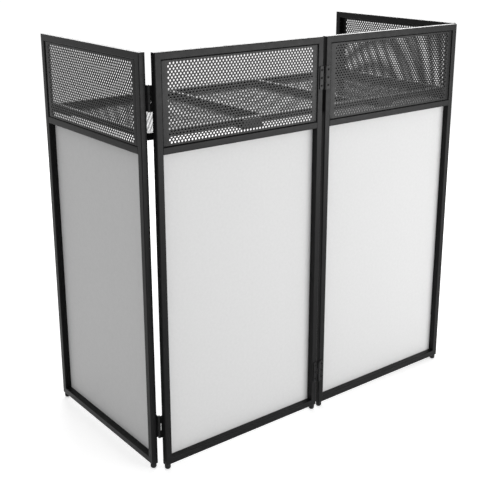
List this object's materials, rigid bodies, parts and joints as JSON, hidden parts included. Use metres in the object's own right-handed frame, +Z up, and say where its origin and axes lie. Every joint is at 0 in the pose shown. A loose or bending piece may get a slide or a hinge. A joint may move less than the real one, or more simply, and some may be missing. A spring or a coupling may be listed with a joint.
{
  "type": "dj booth",
  "caption": "Folding panel DJ booth: black square-tube frames with perforated upper grilles and white stretch scrims, hinged side wings and a lift-off perforated equipment table.",
  "frame": {"origin": "on the floor, under the middle of the booth's overall box, with the wings at right angles", "axes": "+Z up, the audience's side faces -Y, +X to the right as the audience sees it"},
  "size_m": [1.24, 0.5995, 1.216],
  "materials": {
    "frame_black": "satin black powder coat on square steel tube",
    "grille_black": "satin black powder coat on perforated sheet",
    "hinge_black": "black coated steel",
    "scrim_white": "matt white stretch cloth",
    "tape_black": "matt black hook-and-loop tape",
    "foot_rubber": "matt black rubber"
  },
  "bodies": {
    "front_left": {"front_left_outer_post": "frame_black", "front_left_inner_post": "frame_black", "front_left_bottom_rail": "frame_black", "front_left_top_rail": "frame_black", "front_left_crossbar": "frame_black", "front_left_grille": "grille_black", "front_left_scrim": "scrim_white", "front_left_scrim_tape": "tape_black", "front_left_feet": "foot_rubber", "front_left_table_rest": "hinge_black", "centre_hinge_left_leaves": "hinge_black", "left_hinge_front_leaves": "hinge_black"},
    "front_right": {"front_right_inner_post": "frame_black", "front_right_outer_post": "frame_black", "front_right_bottom_rail": "frame_black", "front_right_top_rail": "frame_black", "front_right_crossbar": "frame_black", "front_right_grille": "grille_black", "front_right_scrim": "scrim_white", "front_right_scrim_tape": "tape_black", "front_right_feet": "foot_rubber", "front_right_table_rest": "hinge_black", "centre_hinge_right_leaves": "hinge_black", "right_hinge_front_leaves": "hinge_black"},
    "left_side": {"left_side_rear_post": "frame_black", "left_side_front_post": "frame_black", "left_side_bottom_rail": "frame_black", "left_side_top_rail": "frame_black", "left_side_crossbar": "frame_black", "left_side_grille": "grille_black", "left_side_scrim": "scrim_white", "left_side_scrim_tape": "tape_black", "left_side_feet": "foot_rubber", "left_side_table_rest": "hinge_black", "left_hinge_side_leaves": "hinge_black"},
    "right_side": {"right_side_front_post": "frame_black", "right_side_rear_post": "frame_black", "right_side_bottom_rail": "frame_black", "right_side_top_rail": "frame_black", "right_side_crossbar": "frame_black", "right_side_grille": "grille_black", "right_side_scrim": "scrim_white", "right_side_scrim_tape": "tape_black", "right_side_feet": "foot_rubber", "right_side_table_rest": "hinge_black", "right_hinge_side_leaves": "hinge_black"},
    "table": {"table_front_tube": "frame_black", "table_rear_tube": "frame_black", "table_left_tube": "frame_black", "table_right_tube": "frame_black", "table_bars": "frame_black", "table_left_deck": "grille_black", "table_centre_deck": "grille_black", "table_right_deck": "grille_black"}
  },
  "joints": [
    {"name": "centre_fold", "type": "hinge", "parent": "front_left", "child": "front_right", "pos_m": [0, -0.29525, 0.616], "axis": [0, 0, -1], "range_deg": [0, 180]},
    {"name": "left_side_fold", "type": "hinge", "parent": "front_left", "child": "left_side", "pos_m": [-0.596, -0.26725, 0.616], "axis": [0, 0, 1], "range_deg": [0, 90]},
    {"name": "right_side_fold", "type": "hinge", "parent": "front_right", "child": "right_side", "pos_m": [0.596, -0.26725, 0.616], "axis": [0, 0, -1], "range_deg": [0, 90]},
    {"name": "table_lift", "type": "slide", "parent": "front_left", "child": "table", "axis": [0, 0, 1], "range_m": [0, 0.3]}
  ]
}
